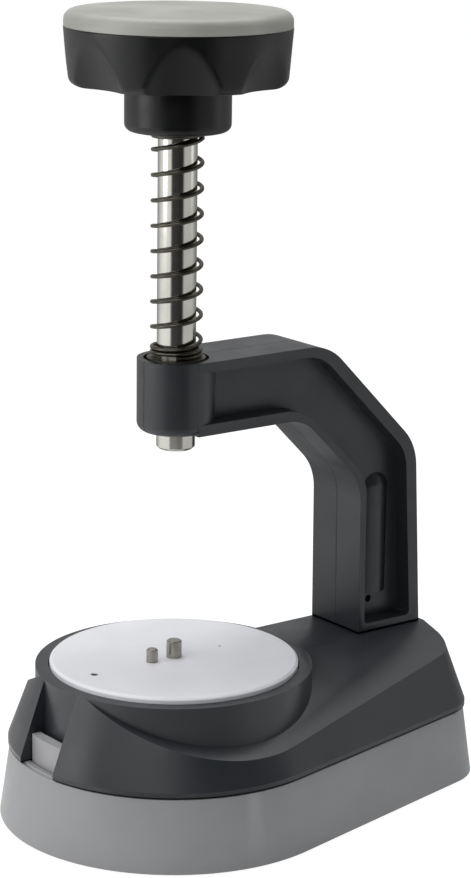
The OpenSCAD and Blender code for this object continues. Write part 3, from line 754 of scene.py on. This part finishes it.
# %% Posts
def steel_post(name, r, stands, centre=None):
    """A pressed-in post with a fine groove at the disc's face and a chamfered top."""
    buried, groove_height, groove_depth, chamfer = 5, 0.8, 0.2, 0.3
    neck_r, neck_z, post_top = r - groove_depth, disc_z - groove_height, disc_z + stands
    line = [(0, disc_z - buried), (r, disc_z - buried), (r, neck_z), (neck_r, neck_z), (neck_r, disc_z),
            (r, disc_z), (r, post_top - chamfer), (r - chamfer, post_top), (0, post_top)]
    profile = rounded(line, [0, 0, 0, 0, 0, 0, 0.1, 0.1, 0], steps=3)
    return lathe(name, profile, segments=48, centre=centre)


middle_post = steel_post("post_middle", 2.0, 4.5)
finish_piece(middle_post, "disc", post_steel, "post_steel", "centre_post")
side_offset = 7
side_post = steel_post("post_side", 1.5, 3.4, (ram_x, ram_y - mm(side_offset)))
finish_piece(side_post, "disc", post_steel, "post_steel", "side_post")

# %% [markdown]
# ## The disc
#
# The disc is turned from white plastic, with a thin broken edge and two small drilled holes. A lathe would
# need Booleans for the holes. The solid has them already, so a softened copy of it is enough.

# %% Disc
disc = softened("anvil_disc", "white_disc", 0.2)
finish_piece(disc, "disc", disc_plastic, "disc_plastic", "anvil_disc")

# %% [markdown]
# ## The return spring
#
# The spring is one wire along a helix. It lies closed for two turns on the bush and for one below the knob,
# and is open between. A Screw modifier would give every turn the same pitch, so here a ring of points is
# carried along a path whose height is worked out turn by turn. When the ram goes down the spring shortens,
# but here it is drawn at its resting length only.

# %% The spring's sizes
spring_low, spring_high = (in_mm(v.z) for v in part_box("return_spring"))
wire, outer = 1.1, 13.5                             # diameters
low_turns, open_turns, high_turns = 2, 8.2, 1
start = math.radians(-36)
closed = wire + 0.06                                # rise of a closed turn
closed_part = closed * (low_turns + high_turns)
pitch_mm = (spring_high - spring_low - wire - closed_part) / open_turns
print("spring pitch", round(pitch_mm, 2), "mm")


# %% Spring
def coil_height(turn):
    """Height of the wire's middle after some turns."""
    climb = closed * min(turn, low_turns) + pitch_mm * max(0, min(turn - low_turns, open_turns))
    return spring_low + wire / 2 + climb + closed * max(0, turn - low_turns - open_turns)


def coil_spring(name, sides=12, per_turn=40):
    """A wire with this many sides and with this many rings in each turn, closed at both ends."""
    turns = low_turns + open_turns + high_turns
    count = int(turns * per_turn)
    middle = (outer - wire) / 2
    verts, faces = [], []
    for i in range(count + 1):
        turn = turns * i / count
        a = start + 2 * math.pi * turn
        for k in range(sides):
            w = 2 * math.pi * k / sides
            r = middle + wire / 2 * math.cos(w)
            z = coil_height(turn) + wire / 2 * math.sin(w)
            verts.append((ram_x + mm(r * math.cos(a)), ram_y + mm(r * math.sin(a)), mm(z)))
    for i in range(count):
        for k in range(sides):
            n = (k + 1) % sides
            here, beyond = i * sides, (i + 1) * sides
            faces.append((here + k, beyond + k, beyond + n, here + n))
    faces.append(tuple(range(sides)))
    faces.append(tuple(count * sides + k for k in reversed(range(sides))))
    return add_mesh(name, verts, faces, smooth_angle=40)


spring = finish_piece(coil_spring("coil_spring"), "stand", spring_wire, "spring_steel", "return_spring")
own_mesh(spring)

# %% [markdown]
# ## The knob
#
# The knob has a hub and a wide skirt with seven scoops for the fingers. Each scoop is cut by a cylinder that
# leans inward at the bottom. It could be cut with seven Booleans, but then its edges would be razor sharp.
# Here the skirt is a grid of points, and each point's radius is the smaller of the skirt's and the scoop's. A
# soft minimum of the two rounds the edge between them.

# %% Scoops
flutes, scoop_r, lean = 7, 22.0, math.radians(24)
first_scoop = math.radians(-33.2)
skirt_r = 28.5
apex_z = seam - 2.0             # height at which a scoop just touches skirt_r
no_scoop = 1000                 # a radius that is larger than any of the knob's


def scoop_radius(angle, z):
    """Radius at which a line out from the axis meets the nearest scoop, or no_scoop if it meets none.

    At a radius r the line is slope * r + shift from the scoop's axis in the leaning plane, and
    r * sin(phi) beside it. Setting the sum of their squares to scoop_r squared gives a quadratic in r,
    and its smaller root is the near side of the scoop.
    """
    step = 2 * math.pi / flutes
    phi = (angle - first_scoop + step / 2) % step - step / 2
    slope = math.cos(phi) * math.cos(lean)
    shift = -(skirt_r * math.cos(lean) + (z - apex_z) * math.sin(lean) + scoop_r)
    square = slope * slope + math.sin(phi) ** 2
    under_root = slope * slope * shift * shift - square * (shift * shift - scoop_r ** 2)
    return no_scoop if under_root < 0 else (-slope * shift - math.sqrt(under_root)) / square


def soft_min(a, b, softness):
    """The smaller of two values, with the corner between them rounded."""
    h = max(softness - abs(a - b), 0) / softness
    return min(a, b) - h * h * softness / 4


# %% Knob
hub_r, skirt_height, skirt_low_r, seam_inner_r = 13.4, 14.4, 27.3, 20
row_height, points_per_flute, crest = 0.7, 40, 0.4


def fluted_knob(name):
    """The knob as rows of points round the axis, pulled in where a scoop is."""
    segments = flutes * points_per_flute
    hub_z, skirt_z = in_mm(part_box("knob")[0].z), seam - skirt_height
    line = [(0, hub_z), (hub_r, hub_z), (hub_r, skirt_z), (skirt_low_r, skirt_z), (skirt_r, seam),
            (seam_inner_r, seam)]
    profile = rounded(line, [0, 2.0, 0.8, 2.5, 0.25, 0], steps=8)
    dense = [profile[0]]
    for a, b in zip(profile, profile[1:]):
        cuts = max(1, round((b - a).length / row_height))
        dense += [a.lerp(b, k / cuts) for k in range(1, cuts + 1)]
    verts = []
    for r, z in dense:
        on_skirt = z > skirt_z - 0.01 and r > seam_inner_r + 0.1
        for k in range(segments):
            a = 2 * math.pi * k / segments
            limit = scoop_radius(a, z) if on_skirt else no_scoop
            radius = soft_min(r, limit, crest)
            verts.append((ram_x + mm(radius) * math.cos(a), ram_y + mm(radius) * math.sin(a), mm(z)))
    piece = add_mesh(name, verts, join_rings(len(dense), segments), smooth_angle=40)
    weld(piece)
    return piece


finish_piece(fluted_knob("knob_grip"), "ram", knob_plastic, "black_plastic", "knob")

# %% [markdown]
# ## The cap
#
# The cap is a grey disc on the knob. Its edge is round and its top swells a little towards the middle, as a
# palm likes it. The lathe makes it in one piece with the short spigot that sits in the knob.

# %% Cap
cap_top = in_mm(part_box("knob_cap")[1].z)
cap_r, spigot_r, spigot_depth, swell = 28.4, 22.9, 2, 0.5
cap_line = [(0, seam - spigot_depth), (spigot_r, seam - spigot_depth), (spigot_r, seam), (cap_r, seam),
            (cap_r, cap_top - swell), (0, cap_top)]
cap = lathe("cap", rounded(cap_line, [0, 0.2, 0, 0.2, 2.5, 0], steps=8), segments=160)
finish_piece(cap, "ram", cap_plastic, "cap_plastic", "knob_cap")

# %% [markdown]
# ## Solids that stay
#
# The small fittings are right as they are. They only need their metal, which goes into the material
# slot of each solid. The rubber feet stay as well, and get their rubber.

# %% Finishes for the carried solids
finishes = {
    "upper_bush": turned_steel,
    "lower_bush": turned_steel,
    "retaining_ring": spring_wire,
    "latch_pin": zinc_steel,
    "column_washer": zinc_steel,
    "column_screw": zinc_steel,
    "knob_washer": zinc_steel,
    "knob_screw": zinc_steel,
    "column_insert": turned_brass,
    "rubber_feet": foot_rubber,
}
for node, material in finishes.items():
    solids[node].data.materials.clear()
    solids[node].data.materials.append(material)
print("finished solids:", len(finishes))
